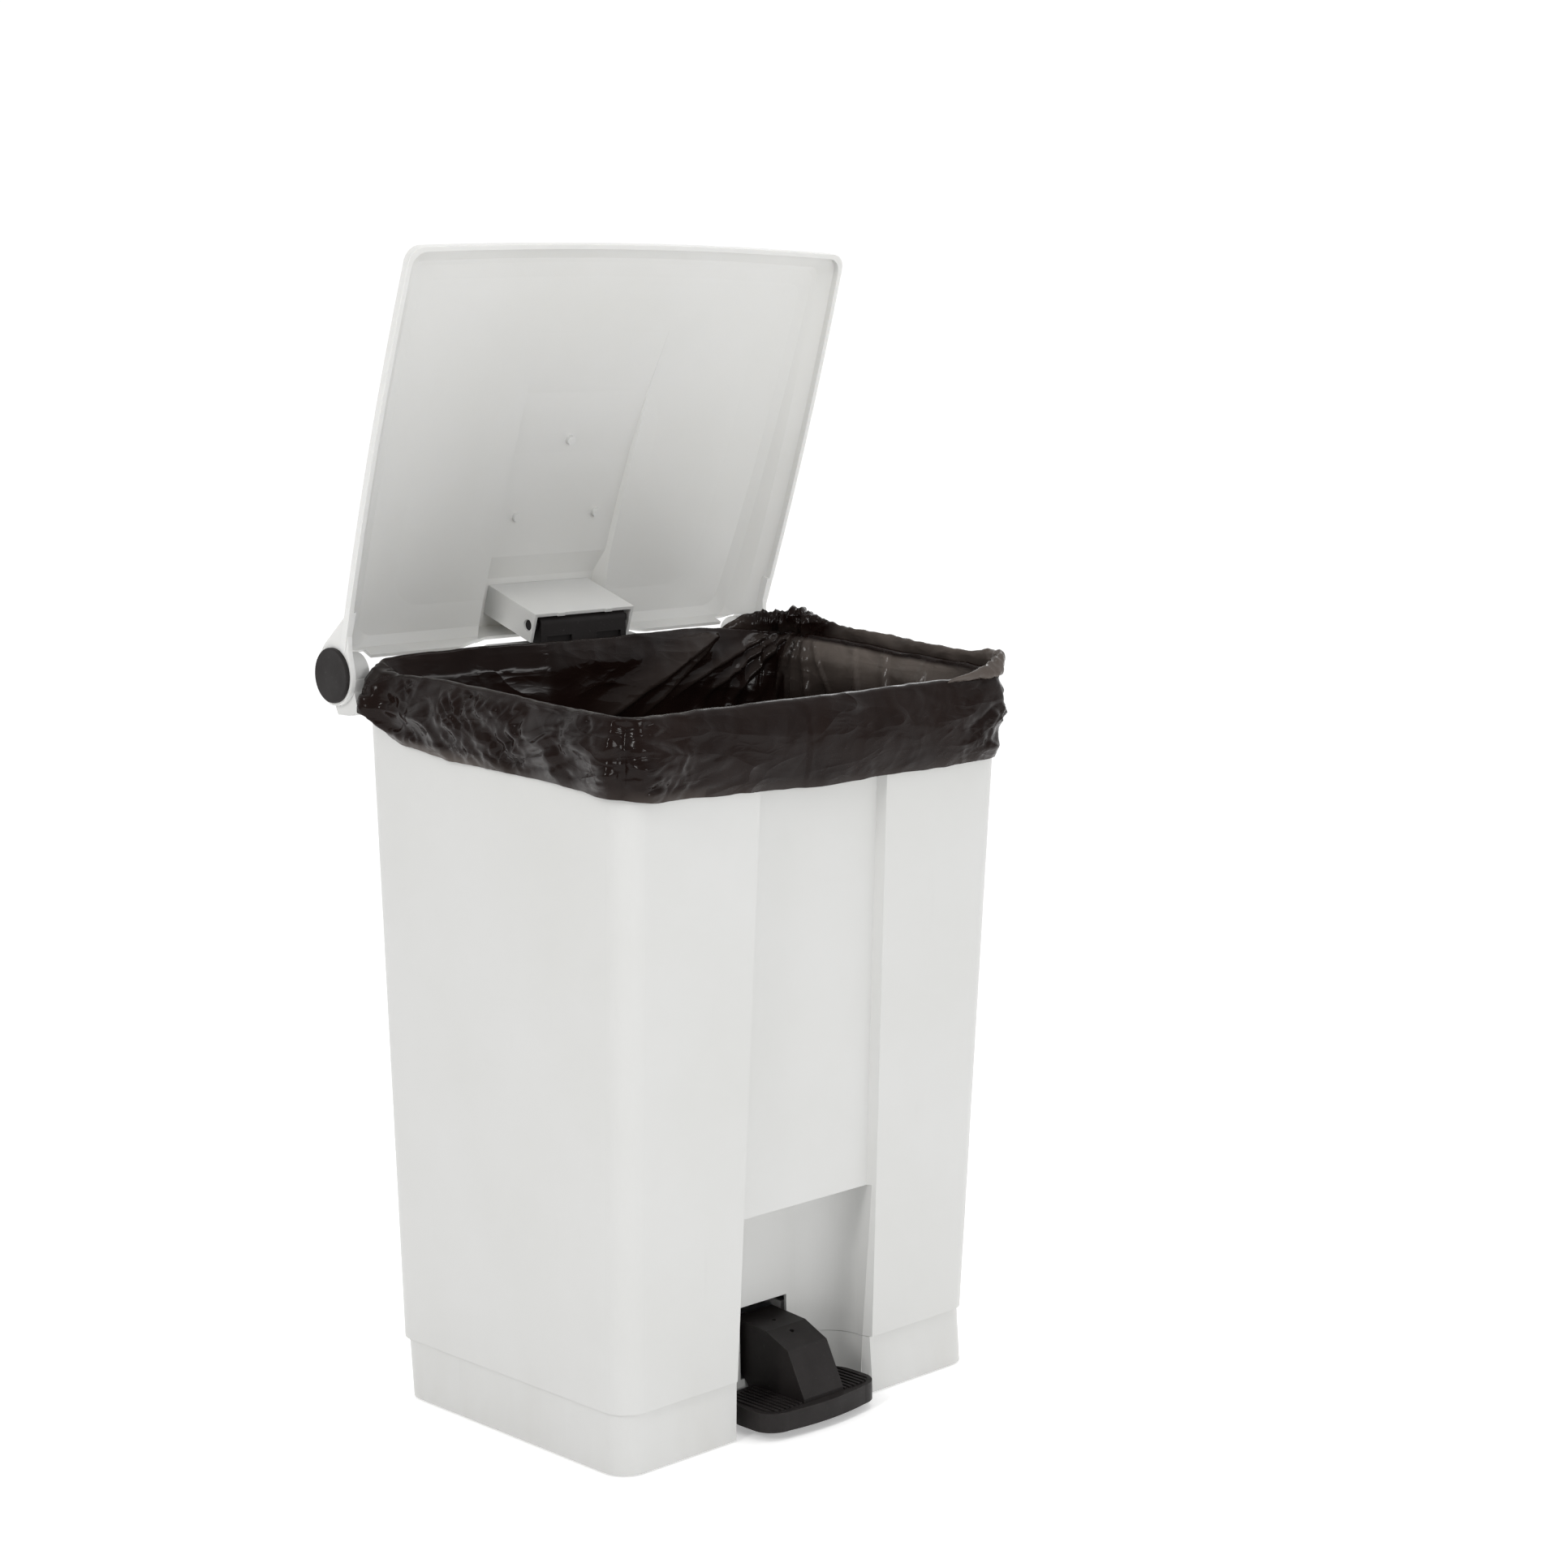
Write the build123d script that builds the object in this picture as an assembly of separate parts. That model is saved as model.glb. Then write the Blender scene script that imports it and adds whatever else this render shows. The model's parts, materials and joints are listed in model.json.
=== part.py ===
"""Step-on pedal bin, 45 to 50 litre class, with a film liner fitted.

Frame: millimetres, +Z up, floor at Z = 0, X across the bin, the pedal toward -Y and
the lid hinge toward +Y. The origin lies on the floor, midway between the two sides.
The lid stands open and the pedal is pressed down. Pieces of the lid are drawn with
the lid level and then swung open about the hinge.
"""
import os
from math import atan2, cos, degrees, radians, sin

from build123d import *

# Driving sizes
WALL = 2.5              # wall of every moulding
LID_OPEN = 71.0         # lid angle above closed
HINGE_Y = 151.0
HINGE_Z = 555.0

# Body: a tapered tub, given at its foot and at its rim
STEP_Z = 46.0           # joint between base and body
RIM_Z = 544.0           # rim height at the front
RIM_RISE = 6.0          # the rim climbs this much from front to rear
FOOT_HALF, RIM_HALF = 177.5, 188.6
FOOT_FRONT, RIM_FRONT = -124.8, -156.5
REAR = 146.0
FOOT_R, RIM_R = 20.0, 19.0
FLOOR_Z = 114.5         # inside floor, above the pedal mechanism

# Front recess, foot alcove and pedal slot
RECESS_DEPTH = 7.5
RECESS_FOOT, RECESS_TOP = 69.0, 62.0
RECESS_TOP_Z = 515.0
ALCOVE_HALF = 66.0
ALCOVE_BACK = -78.0
ALCOVE_R = 34.0
ALCOVE_TOP = 166.0
SLOT_HALF = 24.0
SLOT_TOP = 80.0
SLOT_FOOT = 24.0

# Rear channel for the push rod
CHANNEL_HALF = 54.0
CHANNEL_FRONT = 97.0
WINDOW_HALF = 44.0
WINDOW_Z = (150.0, 440.0)
SHIELD_TOP = 567.5
NOTCH_TOP = 571.5        # lower edge of the lid's rear wall at the bracket

# Lid, drawn level; it closes a little past level, until it rests on the front rim
LID_DROP = 2.5
LID_HALF = 208.2         # at the hinge end
LID_FRONT, LID_REAR = -176.3, 141.7
LID_RIM_Z = 546.2
SIDE_BOW, FRONT_BOW = 4.0, 5.0
LID_WALL_FOOT = 558.8    # lower edge of the lid's rear wall
EAR_R = 22.5
EAR_IN = 204.3
CAP_R = 20.5
BARREL_R = 16.0
BARREL_IN, BARREL_OUT = 187.5, 204.0

# Lid bracket and push rod
BRACKET_HALF = 49.0
BRACKET_FRONT, BRACKET_REAR = 104.5, 127.7
BRACKET_FOOT, BRACKET_TOP = 530.2, 590.6
PIN_Y, PIN_Z = 116.13, 537.02    # connector pin, lid level
PIN_R = 4.0
ROD_R = 3.5
ROD_REACH = 476.7       # connector pin down to the tip of the foot

# Pedal and lever
AXLE_Y, AXLE_Z = -58.0, 62.0
AXLE_R = 4.0
LEVER_TILT = 10.5       # rear end up, pedal pressed
LEVER_FRONT, LEVER_REAR = -60.0, 196.0   # along the lever, from the axle
PAD_Y = AXLE_Y + LEVER_REAR - 19.5
LEVER_SCREWS = (AXLE_Y - 30, AXLE_Y - 50)
TREAD_HALF = 57.0
TREAD_BACK, TREAD_FRONT = -86.0, -147.0
TREAD_BOW = 4.0
TREAD_FOOT, TREAD_TOP = 6.5, 21.0
HUMP_HALF = 20.0

HINGE = Axis((0, HINGE_Y, HINGE_Z), (1, 0, 0))
AXLE = Axis((0, AXLE_Y, AXLE_Z), (1, 0, 0))
SIDES = (-1, 1)
MIDDLE_Y = 13.0           # middle of the whole bin with its lid open, taken as the origin


# ---------------------------------------------------------------- helpers
def slab(half, front, rear, radius, z):
    """Rounded rectangle lying level at height z."""
    middle = (front + rear) / 2
    return Pos(0, middle, z) * RectangleRounded(2 * half, rear - front, radius)


def block(x0, x1, y0, y1, z0, z1):
    centre = Pos((x0 + x1) / 2, (y0 + y1) / 2, (z0 + z1) / 2)
    return centre * Box(x1 - x0, y1 - y0, z1 - z0)


def rod_x(radius, x0, x1, y, z):
    return Pos((x0 + x1) / 2, y, z) * Rot(0, 90, 0) * Cylinder(radius, x1 - x0)


def rod_z(radius, x, y, z0, z1):
    return Pos(x, y, (z0 + z1) / 2) * Cylinder(radius, z1 - z0)


def rod_y(radius, x, y0, y1, z):
    return Pos(x, (y0 + y1) / 2, z) * Rot(90, 0, 0) * Cylinder(radius, y1 - y0)


def side_cut(points, x0, x1):
    """Prism along X from an outline of (y, z) points."""
    outline = Plane.YZ * Polygon(*points, align=None)
    return Pos(x0, 0, 0) * extrude(outline, amount=x1 - x0, dir=(1, 0, 0))


def opened(shape):
    return shape.rotate(HINGE, -LID_OPEN)


def tilted(shape):
    return shape.rotate(AXLE, LEVER_TILT)


# ---------------------------------------------------------------- body
def along(z, foot, rim):
    """A body size at height z, between its foot and rim values."""
    return foot + (rim - foot) * (z - STEP_Z) / (RIM_Z - STEP_Z)


def body_slab(z, inset):
    half = along(z, FOOT_HALF, RIM_HALF) - inset
    front = along(z, FOOT_FRONT, RIM_FRONT) + inset
    return slab(half, front, REAR - inset, along(z, FOOT_R, RIM_R) - inset, z)


def tub(z0, z1, inset):
    return loft([body_slab(z0, inset), body_slab(z1, inset)], ruled=True)


def recess_slab(z, grow):
    """Trapezium cut into the front: draft on both sides, flat panel at its back."""
    half = along(z, RECESS_FOOT, RECESS_TOP) + grow
    face_y = along(z, FOOT_FRONT, RIM_FRONT)
    back = face_y + RECESS_DEPTH + grow
    points = [(-half - 4, face_y - 10), (half + 4, face_y - 10), (half, face_y),
              (half - 3, back), (-half + 3, back), (-half, face_y)]
    return Pos(0, 0, z) * Polygon(*points, align=None)


def recess(z0, z1, grow):
    return loft([recess_slab(z0, grow), recess_slab(z1, grow)], ruled=True)


def alcove(z0, z1, grow):
    plan = slab(ALCOVE_HALF + grow, -230, ALCOVE_BACK + grow, ALCOVE_R + grow, z0)
    return extrude(plan, amount=z1 - z0)


def slot(z0, z1):
    return block(-SLOT_HALF, SLOT_HALF, ALCOVE_BACK - 3, ALCOVE_BACK + 6, z0, z1)


def front_forms(inset):
    """Recess and alcove as seen from inside the tub, grown by the wall."""
    panel = recess(STEP_Z - 4, RECESS_TOP_Z + inset, inset)
    return panel + alcove(STEP_Z - 4, ALCOVE_TOP + inset, inset)


def room(z0, z1, inset):
    """Space inside the tub above its floor, clear of recess, alcove and channel."""
    half = CHANNEL_HALF + inset
    channel = block(-half, half, CHANNEL_FRONT - inset, REAR + 5, z0 - 5, z1 + 5)
    return tub(z0, z1, inset) - front_forms(inset) - channel


def rim_slab(low, high):
    """Sloping layer between two heights above the rim."""
    y0, y1 = RIM_FRONT - 10, REAR + 10
    slope = RIM_RISE / (REAR - RIM_FRONT)
    z0, z1 = RIM_Z - 10 * slope, RIM_Z + RIM_RISE + 10 * slope
    outline = [(y0, z0 + low), (y1, z1 + low), (y1, z1 + high), (y0, z0 + high)]
    return side_cut(outline, -RIM_HALF - 9, RIM_HALF + 9)


def make_body():
    top = RIM_Z + 20
    shell = tub(STEP_Z, top, 0)
    shell -= recess(STEP_Z - 2, RECESS_TOP_Z, 0)
    shell -= alcove(STEP_Z - 2, ALCOVE_TOP, 0)
    shell -= room(FLOOR_Z, top + 1, WALL)
    shell -= tub(STEP_Z - 1, FLOOR_Z - WALL, WALL) - front_forms(WALL)
    shell -= block(-CHANNEL_HALF, CHANNEL_HALF, CHANNEL_FRONT, REAR - WALL,
                   FLOOR_Z - WALL - 1, top + 1)
    shell -= slot(STEP_Z - 1, SLOT_TOP)
    shell -= block(-WINDOW_HALF, WINDOW_HALF, REAR - WALL - 1, REAR + 1, *WINDOW_Z)

    shell -= rim_slab(0, 40)

    # Screw posts under the floor
    for x, y in POSTS:
        shell += rod_z(6, x, y, 6.8, FLOOR_Z - WALL + 0.5)
        shell -= rod_z(2.0, x, y, 6, 30)

    # Hinge barrels on brackets outside the rear corners
    outline = [(134, 552), (128, 530), (138, 525.5), (153, 525.5), (167, 553), (151, 560)]
    for side in SIDES:
        x0, x1 = sorted((side * BARREL_IN, side * BARREL_OUT))
        shell += side_cut(outline, x0, x1) + rod_x(BARREL_R, x0, x1, HINGE_Y, HINGE_Z)
        shell -= rod_x(8.05, x0 - 1, x1 + 1, HINGE_Y, HINGE_Z)

    # Shield over the push rod, standing on the rear rim
    shield = Plane.XZ * Polygon((-92, 545), (92, 545), (92, 560.5), (71, SHIELD_TOP),
                                (-71, SHIELD_TOP), (-92, 560.5), align=None)
    shell += Pos(0, REAR, 0) * extrude(shield, amount=WALL)

    # Holes for the cover screws
    for x, z in COVER_SCREWS:
        shell -= rod_y(1.8, x, REAR - WALL - 1, REAR + 1, z)
    return shell


POSTS = [(x, y) for x in (-150, 150) for y in (-85, 118)]
COVER_SCREWS = [(x, z) for x in (-48, 48) for z in (158, 432)]


# ---------------------------------------------------------------- base
def make_base():
    """Skirt and floor tray that closes the body below and carries the pedal axle."""
    z0 = 1.5
    low = slab(178.0, -123.6, 136.0, 20, z0)
    high = slab(176.0, -122.8, 142.0, 20, STEP_Z - 0.3)
    skirt = loft([low, high], ruled=True)
    low_in = slab(178.0 - WALL, -123.6 + WALL, 136.0 - WALL, 17.5, z0 + WALL)
    high_in = slab(176.0 - WALL, -122.8 + WALL, 142.0 - WALL, 17.5, STEP_Z)
    alcove_wall = alcove(-1, STEP_Z + 1, WALL)
    skirt -= loft([low_in, high_in], ruled=True) - alcove_wall

    # Tongue that locates the body
    tongue = extrude(body_slab(STEP_Z - 3, WALL + 0.5), amount=12)
    tongue -= extrude(body_slab(STEP_Z - 4, 2 * WALL + 0.5), amount=14)
    ledge = extrude(slab(175.8, -122.6, 141.8, 19, STEP_Z - 3), amount=2.7)
    ledge -= extrude(body_slab(STEP_Z - 4, 2 * WALL + 0.5), amount=6)
    tongue -= block(-175, 175, REAR - 8, REAR + 8, STEP_Z - 4, STEP_Z + 12)
    front_half = ALCOVE_HALF + WALL + 6
    tongue -= block(-front_half, front_half, -200, -100, STEP_Z - 0.3, STEP_Z + 12)
    base = skirt + ledge + tongue
    base -= recess(-2, STEP_Z + 12, 0)
    base -= alcove(-2, STEP_Z + 12, 0)
    base -= slot(SLOT_FOOT, STEP_Z + 12)

    # Two cheeks behind the slot carry the axle
    for side in SIDES:
        x0, x1 = sorted((side * 26.0, side * 31.0))
        cheek = side_cut([(-72, 3), (-40, 3), (-47, 72), (-69, 72)], x0, x1)
        cheek -= rod_x(6.0, x0 - 1, x1 + 1, AXLE_Y, AXLE_Z)
        base += cheek

    for x, y in POSTS:
        base += rod_z(9, x, y, z0, 6.5)
        base -= rod_z(4.6, x, y, z0 - 1, 4.2)
        base -= rod_z(2.4, x, y, z0, 8)
    base += rod_z(5, 0, STOP_Y, 3, 8)
    return base


STOP_Y = 112.0


def make_feet():
    places = [(x, y) for x in (-158, 158) for y in (-104, 100)]
    return [rod_z(9, x, y, 0, 1.5) for x, y in places]


def screw(shank_r, head_r, length, head_h):
    """Pan-head screw, head below, shank up along Z from the origin."""
    head = Pos(0, 0, -head_h / 2) * Cylinder(head_r, head_h)
    recess_cut = Pos(0, 0, -head_h) * (Box(3.6, 0.8, 1.8) + Box(0.8, 3.6, 1.8))
    shank = Pos(0, 0, length / 2) * Cylinder(shank_r, length)
    return head - recess_cut + shank


# ---------------------------------------------------------------- lid, drawn level
def lid_ring(w, side, front, rear, drop=0, far_side=None, corner=12, rear_corner=3):
    """Outline of the lid, w above its rim, inset at side, front and rear.

    The ring drops toward the front, where far_side is the side inset.
    """
    near, far = LID_HALF - side, LID_HALF + 1.8 - (side if far_side is None else far_side)
    y0, y1 = LID_FRONT + front, LID_REAR - rear
    middle = (near + far) / 2 + SIDE_BOW
    right = ThreePointArc((near, y1), (middle, (y0 + y1) / 2), (far, y0))
    ahead = ThreePointArc((far, y0), (0, y0 - FRONT_BOW), (-far, y0))
    left = ThreePointArc((-far, y0), (-middle, (y0 + y1) / 2), (-near, y1))
    face = make_face([right, ahead, left, Line((-near, y1), (near, y1))])
    face = fillet(face.vertices().sort_by(Axis.Y)[:2], corner)
    face = fillet(face.vertices().sort_by(Axis.Y)[-2:], rear_corner)
    tilt = degrees(atan2(drop, y1 - y0))
    return Pos(0, y1, LID_RIM_Z + w) * Rot(tilt, 0, 0) * Pos(0, -y1, 0) * face


def lid_outside():
    """Upright band, two side slopes, then a crown that rises toward the hinge."""
    return loft([lid_ring(0, 0, 0, 0), lid_ring(6.5, 0.5, 0.5, 0),
                 lid_ring(14.2, 12.4, 12.4, 0.2, corner=9, rear_corner=4),
                 lid_ring(26.5, 21.3, 15.4, 1.2, 10.8, 14.5, 9, 9),
                 lid_ring(32.0, 29.0, 27.0, 8.0, 13.8, 24.0, 12, 16),
                 lid_ring(35.9, 60.0, 60.0, 29.0, 13.0, 58.0, 26, 30),
                 lid_ring(37.5, 136.0, 120.0, 58.0, 6.2, 134.0, 34, 34)], ruled=True)


def lid_inside():
    return loft([lid_ring(-2, 3.6, 3.6, WALL), lid_ring(5.2, 3.6, 3.6, WALL),
                 lid_ring(12.3, 13.6, 13.6, WALL + 0.2, corner=8, rear_corner=3),
                 lid_ring(24.5, 23.0, 17.2, WALL + 1.2, 11.0, 16.5, 8, 8),
                 lid_ring(29.5, 30.5, 28.5, WALL + 8.0, 13.7, 25.5, 11, 15),
                 lid_ring(33.4, 61.0, 61.0, WALL + 28.0, 13.0, 59.0, 25, 29),
                 lid_ring(35.0, 136.5, 120.5, WALL + 56.0, 6.2, 134.5, 33, 33)], ruled=True)


HUMP_LINE = [(-124, 17.5), (-107, 22.0), (-57, 29.4), (-7, 34.2), (43, 37.2), (79, 38.7),
             (99, 44.6), (136, 44.6)]     # floor of the raised field: Y, height above the rim


def hump(inset):
    """Raised field along the middle of the lid, deepest at the bracket."""
    rings = []
    for w, front_half, rear_half, front in ((10, 69.2, 75.8, -130), (52, 44.0, 50.6, -96)):
        grow = WALL - inset
        rear = LID_REAR - inset
        points = [(-front_half - grow, front - grow), (front_half + grow, front - grow),
                  (rear_half + grow, rear), (-rear_half - grow, rear)]
        rings.append(Pos(0, 0, LID_RIM_Z + w) * Polygon(*points, align=None))
    rise = loft(rings, ruled=True)
    top = [(y, LID_RIM_Z + w + WALL - inset) for y, w in HUMP_LINE]
    top = [(-200, top[0][1])] + top + [(150, top[-1][1]), (150, 700), (-200, 700)]
    return rise - side_cut(top, -95, 95)


def make_lid():
    lid = lid_outside() + hump(0) - lid_inside() - hump(WALL)

    # The rear wall stops above the body rim and is cut back beside the bracket
    lid -= block(-188, 188, 128, 150, LID_RIM_Z - 5, LID_WALL_FOOT)
    notch = Plane.XZ * Polygon((-93, 550), (93, 550), (93, LID_WALL_FOOT), (59, NOTCH_TOP),
                               (-59, NOTCH_TOP), (-93, LID_WALL_FOOT), align=None)
    lid -= Pos(0, 150, 0) * extrude(notch, amount=20)

    # Ears at both rear corners, with a round seat for the hinge cap
    web = [(98, LID_RIM_Z), (98, 552), (106, 555.2), (133, 572.2), (144, 576.3),
           (HINGE_Y, HINGE_Z), (140, 535.4), (127, 543), (117, LID_RIM_Z)]
    for side in SIDES:
        x0, x1 = sorted((side * (EAR_IN - 30.0), side * EAR_IN))
        lid -= rod_x(BARREL_R + 1.5, x0, x1, HINGE_Y, HINGE_Z)
        x0, x1 = sorted((side * EAR_IN, side * LID_HALF))
        lid += side_cut(web, x0, x1) + rod_x(EAR_R, x0, x1, HINGE_Y, HINGE_Z)
        c0, c1 = sorted((side * LID_HALF, side * (LID_HALF + 6)))
        lid -= rod_x(CAP_R + 0.5, c0, c1, HINGE_Y, HINGE_Z)
        lid -= rod_x(6.05, x0 - 1, x1 + 1, HINGE_Y, HINGE_Z)

    # Moulded nubs under the crown
    for x, y, floor in ((-41, 45.7, 37.3), (37, 45, 37.2), (-6, -17.5, 33.1)):
        lid += rod_z(3.5, x, y, LID_RIM_Z + floor - 3, LID_RIM_Z + floor + 1)
    return lid


def make_bracket():
    """Box under the lid that takes the connector, open below and to the rear."""
    box = block(-BRACKET_HALF, BRACKET_HALF, BRACKET_FRONT, BRACKET_REAR, BRACKET_FOOT, BRACKET_TOP)
    inner = BRACKET_HALF - WALL
    box -= block(-inner, inner, BRACKET_FRONT + WALL, BRACKET_REAR + 1, BRACKET_FOOT - 1, 569.2)
    y0, y1 = BRACKET_FRONT, BRACKET_FRONT + WALL
    for x in (-24, 23):
        box += block(x - 3.5, x + 3.5, y0, y1, BRACKET_FOOT - 1, BRACKET_FOOT + 4)
    for side in SIDES:
        x0, x1 = sorted((side * (BRACKET_HALF - 4), side * (BRACKET_HALF + 1)))
        box -= rod_x(PIN_R + 0.05, x0, x1, PIN_Y, PIN_Z)
        x0, x1 = sorted((side * (BRACKET_HALF - 1.2), side * (BRACKET_HALF + 1)))
        box -= rod_x(PIN_R + 0.6, x0, x1, PIN_Y, PIN_Z)
    return box


def make_hinge_pin(side):
    """Round cap outside the ear with a pin through ear and barrel."""
    x0, x1 = sorted((side * (LID_HALF + 0.05), side * (LID_HALF + 3.0)))
    cap = rod_x(CAP_R, x0, x1, HINGE_Y, HINGE_Z)
    rim = cap.edges().filter_by(GeomType.CIRCLE).sort_by(Axis.X)[-1 if side > 0 else 0]
    cap = fillet(rim, 1.2)
    s0, s1 = sorted((side * 190.5, side * (LID_HALF + 1)))
    return cap + rod_x(6.0, s0, s1, HINGE_Y, HINGE_Z)


def make_hinge_bush(side):
    x0, x1 = sorted((side * 189.0, side * 203.8))
    return rod_x(8.0, x0, x1, HINGE_Y, HINGE_Z) - rod_x(6.06, x0 - 1, x1 + 1, HINGE_Y, HINGE_Z)


# ---------------------------------------------------------------- connector and push rod
OPEN_ANGLE = radians(LID_OPEN)
PIN_OPEN_Y = HINGE_Y + (PIN_Y - HINGE_Y) * cos(OPEN_ANGLE) + (PIN_Z - HINGE_Z) * sin(OPEN_ANGLE)
PIN_OPEN_Z = HINGE_Z - (PIN_Y - HINGE_Y) * sin(OPEN_ANGLE) + (PIN_Z - HINGE_Z) * cos(OPEN_ANGLE)


def make_connector():
    """Block that hangs from the pin, rounded on top, with a socket for the rod."""
    y, z = PIN_OPEN_Y, PIN_OPEN_Z
    body = rod_x(8, -42, 42, y, z) + block(-42, 42, y - 8, y + 8, z - 34, z)
    for side in SIDES:
        x0, x1 = sorted((side * 12.0, side * 37.0))
        body -= block(x0, x1, y - 9, y - 5, z - 29, z - 9)
        body -= block(x0, x1, y + 5, y + 9, z - 29, z - 9)
    body -= rod_x(PIN_R + 0.06, -43, 43, y, z)
    body -= rod_z(ROD_R + 0.05, 0, y, z - 35, z - 10)
    return body


def make_connector_pin():
    reach = BRACKET_HALF - 1.3
    return rod_x(PIN_R, -reach, reach, PIN_Y, PIN_Z)


def make_rod():
    y, z = PIN_OPEN_Y, PIN_OPEN_Z
    return rod_z(ROD_R, 0, y, z - ROD_REACH + 6, z - 10.5)


def make_locknut():
    y, z = PIN_OPEN_Y, PIN_OPEN_Z
    nut = Pos(0, y, z - 40.2) * extrude(RegularPolygon(6.5, 6), amount=6)
    return nut - rod_z(ROD_R + 0.05, 0, y, z - 42, z - 33)


def make_rod_foot():
    y = PIN_OPEN_Y
    tip = PIN_OPEN_Z - ROD_REACH
    ball = Pos(0, y, tip + 8) * Sphere(8)
    foot = ball + rod_z(8, 0, y, tip + 8, tip + 22)
    return foot - rod_z(ROD_R + 0.05, 0, y, tip + 5.5, tip + 23)


def make_rod_guide():
    """Shelf across the channel with a slot that lets the rod sway fore and aft."""
    half, front, rear = CHANNEL_HALF - 0.2, CHANNEL_FRONT + 0.2, REAR - WALL - 0.2
    shelf = block(-half, half, front, rear, 300, 304)
    shelf += block(-14, 14, 104, 138, 304, 312)
    return shelf - extrude(Pos(0, 119, 296) * SlotOverall(32, 8.2, rotation=90), amount=20)


def make_rear_cover():
    y0 = REAR + 0.1
    cover = block(-55, 55, y0, y0 + 2.4, WINDOW_Z[0] - 8, WINDOW_Z[1] + 8)
    for z in range(200, 400, 40):
        cover += block(-36, 36, y0 + 2.2, y0 + 3.6, z, z + 4)
    for x, z in COVER_SCREWS:
        cover -= rod_y(1.9, x, y0 - 1, y0 + 4, z)
    return cover


# ---------------------------------------------------------------- pedal
def tread_plan(inset):
    half = TREAD_HALF - inset
    back, front = TREAD_BACK - inset, TREAD_FRONT + inset
    r_back, r_front = 28 - inset, 18 - inset
    k = 1 - cos(radians(45))
    back_mid = (half - r_back * k, back - r_back * k)
    front_mid = (half - r_front * k, front + r_front * k)
    right = [Line((0, back), (half - r_back, back)),
             ThreePointArc((half - r_back, back), back_mid, (half, back - r_back)),
             Line((half, back - r_back), (half, front + r_front)),
             ThreePointArc((half, front + r_front), front_mid, (half - r_front, front))]
    bow = ThreePointArc((half - r_front, front), (0, front - TREAD_BOW), (-half + r_front, front))
    left = [edge.mirror(Plane.YZ) for edge in right]
    return make_face(right + [bow] + left)


def hump_profile(inset):
    return [(-66, 70 - inset), (-103, 67 - inset), (-126 + 0.5 * inset, 57 - inset),
            (-143 + inset, 24 - inset), (-143 + inset, 17), (-84, 17), (-66 - inset, 40)]


def make_pedal():
    tread = Pos(0, 0, TREAD_FOOT) * extrude(tread_plan(0), amount=TREAD_TOP - TREAD_FOOT)
    hollow = Pos(0, 0, TREAD_FOOT - 1) * extrude(tread_plan(3), amount=TREAD_TOP - TREAD_FOOT - 2)
    tread -= hollow
    ribs = Part()
    for k in range(-11, 12):
        ribs += block(4.6 * k - 1.1, 4.6 * k + 1.1, -143, -92, TREAD_TOP - 0.5, TREAD_TOP + 1.5)
    keep = Pos(0, 0, TREAD_TOP - 1) * extrude(tread_plan(4), amount=4)
    tread += ribs & keep
    neck = side_cut(hump_profile(0), -HUMP_HALF, HUMP_HALF)
    space = side_cut(hump_profile(3), 3 - HUMP_HALF, HUMP_HALF - 3)
    space += block(3 - HUMP_HALF, HUMP_HALF - 3, -140, -90, 5, 24)
    mouth = [(-60, 30), (-60, 67), (-72, 67), (-88, 14), (-84, 14)]
    space += side_cut(mouth, 3 - HUMP_HALF, HUMP_HALF - 3)
    return tread + neck - space - tilted(lever_screw_holes())


def lever_screw_holes():
    holes = Part()
    for y in LEVER_SCREWS:
        holes += rod_z(1.9, 0, y, AXLE_Z - 12, AXLE_Z + 20)
    return holes


def make_lever():
    """Pressed channel with a tube across it for the axle."""
    y0, y1 = AXLE_Y + LEVER_FRONT, AXLE_Y + LEVER_REAR
    lever = block(-13, 13, y0, y1, AXLE_Z - 6, AXLE_Z + 5)
    lever -= block(-11, 11, y0 + 2, y1 - 2, AXLE_Z - 7, AXLE_Z + 3)
    lever += rod_x(7.5, -24.5, 24.5, AXLE_Y, AXLE_Z)
    lever -= rod_x(AXLE_R + 0.05, -26, 26, AXLE_Y, AXLE_Z)
    for y in LEVER_SCREWS:
        lever -= rod_z(2.2, 0, y, AXLE_Z, AXLE_Z + 8)
    lever -= rod_z(2.55, 0, PAD_Y, AXLE_Z, AXLE_Z + 8)
    return tilted(lever)


def make_lever_pad():
    pad = block(-13, 13, PAD_Y - 18.5, PAD_Y + 18.5, AXLE_Z + 5.05, AXLE_Z + 9)
    pad += rod_z(2.5, 0, PAD_Y, AXLE_Z + 2.9, AXLE_Z + 6)
    return tilted(pad)


def make_axle():
    return rod_x(AXLE_R, -35, 35, AXLE_Y, AXLE_Z)


def make_axle_bush(side):
    x0, x1 = sorted((side * 25.2, side * 31.6))
    sleeve = rod_x(5.95, x0, x1, AXLE_Y, AXLE_Z)
    return sleeve - rod_x(AXLE_R + 0.06, x0 - 1, x1 + 1, AXLE_Y, AXLE_Z)


def make_axle_clips():
    clips = []
    for side in SIDES:
        x0, x1 = sorted((side * 32.4, side * 33.6))
        disc = rod_x(7, x0, x1, AXLE_Y, AXLE_Z)
        clips.append(disc - rod_x(AXLE_R + 0.05, x0 - 1, x1 + 1, AXLE_Y, AXLE_Z))
    return clips


# ---------------------------------------------------------------- liner
FILM = 1.0
CUFF_FOOT = 488.0


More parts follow.
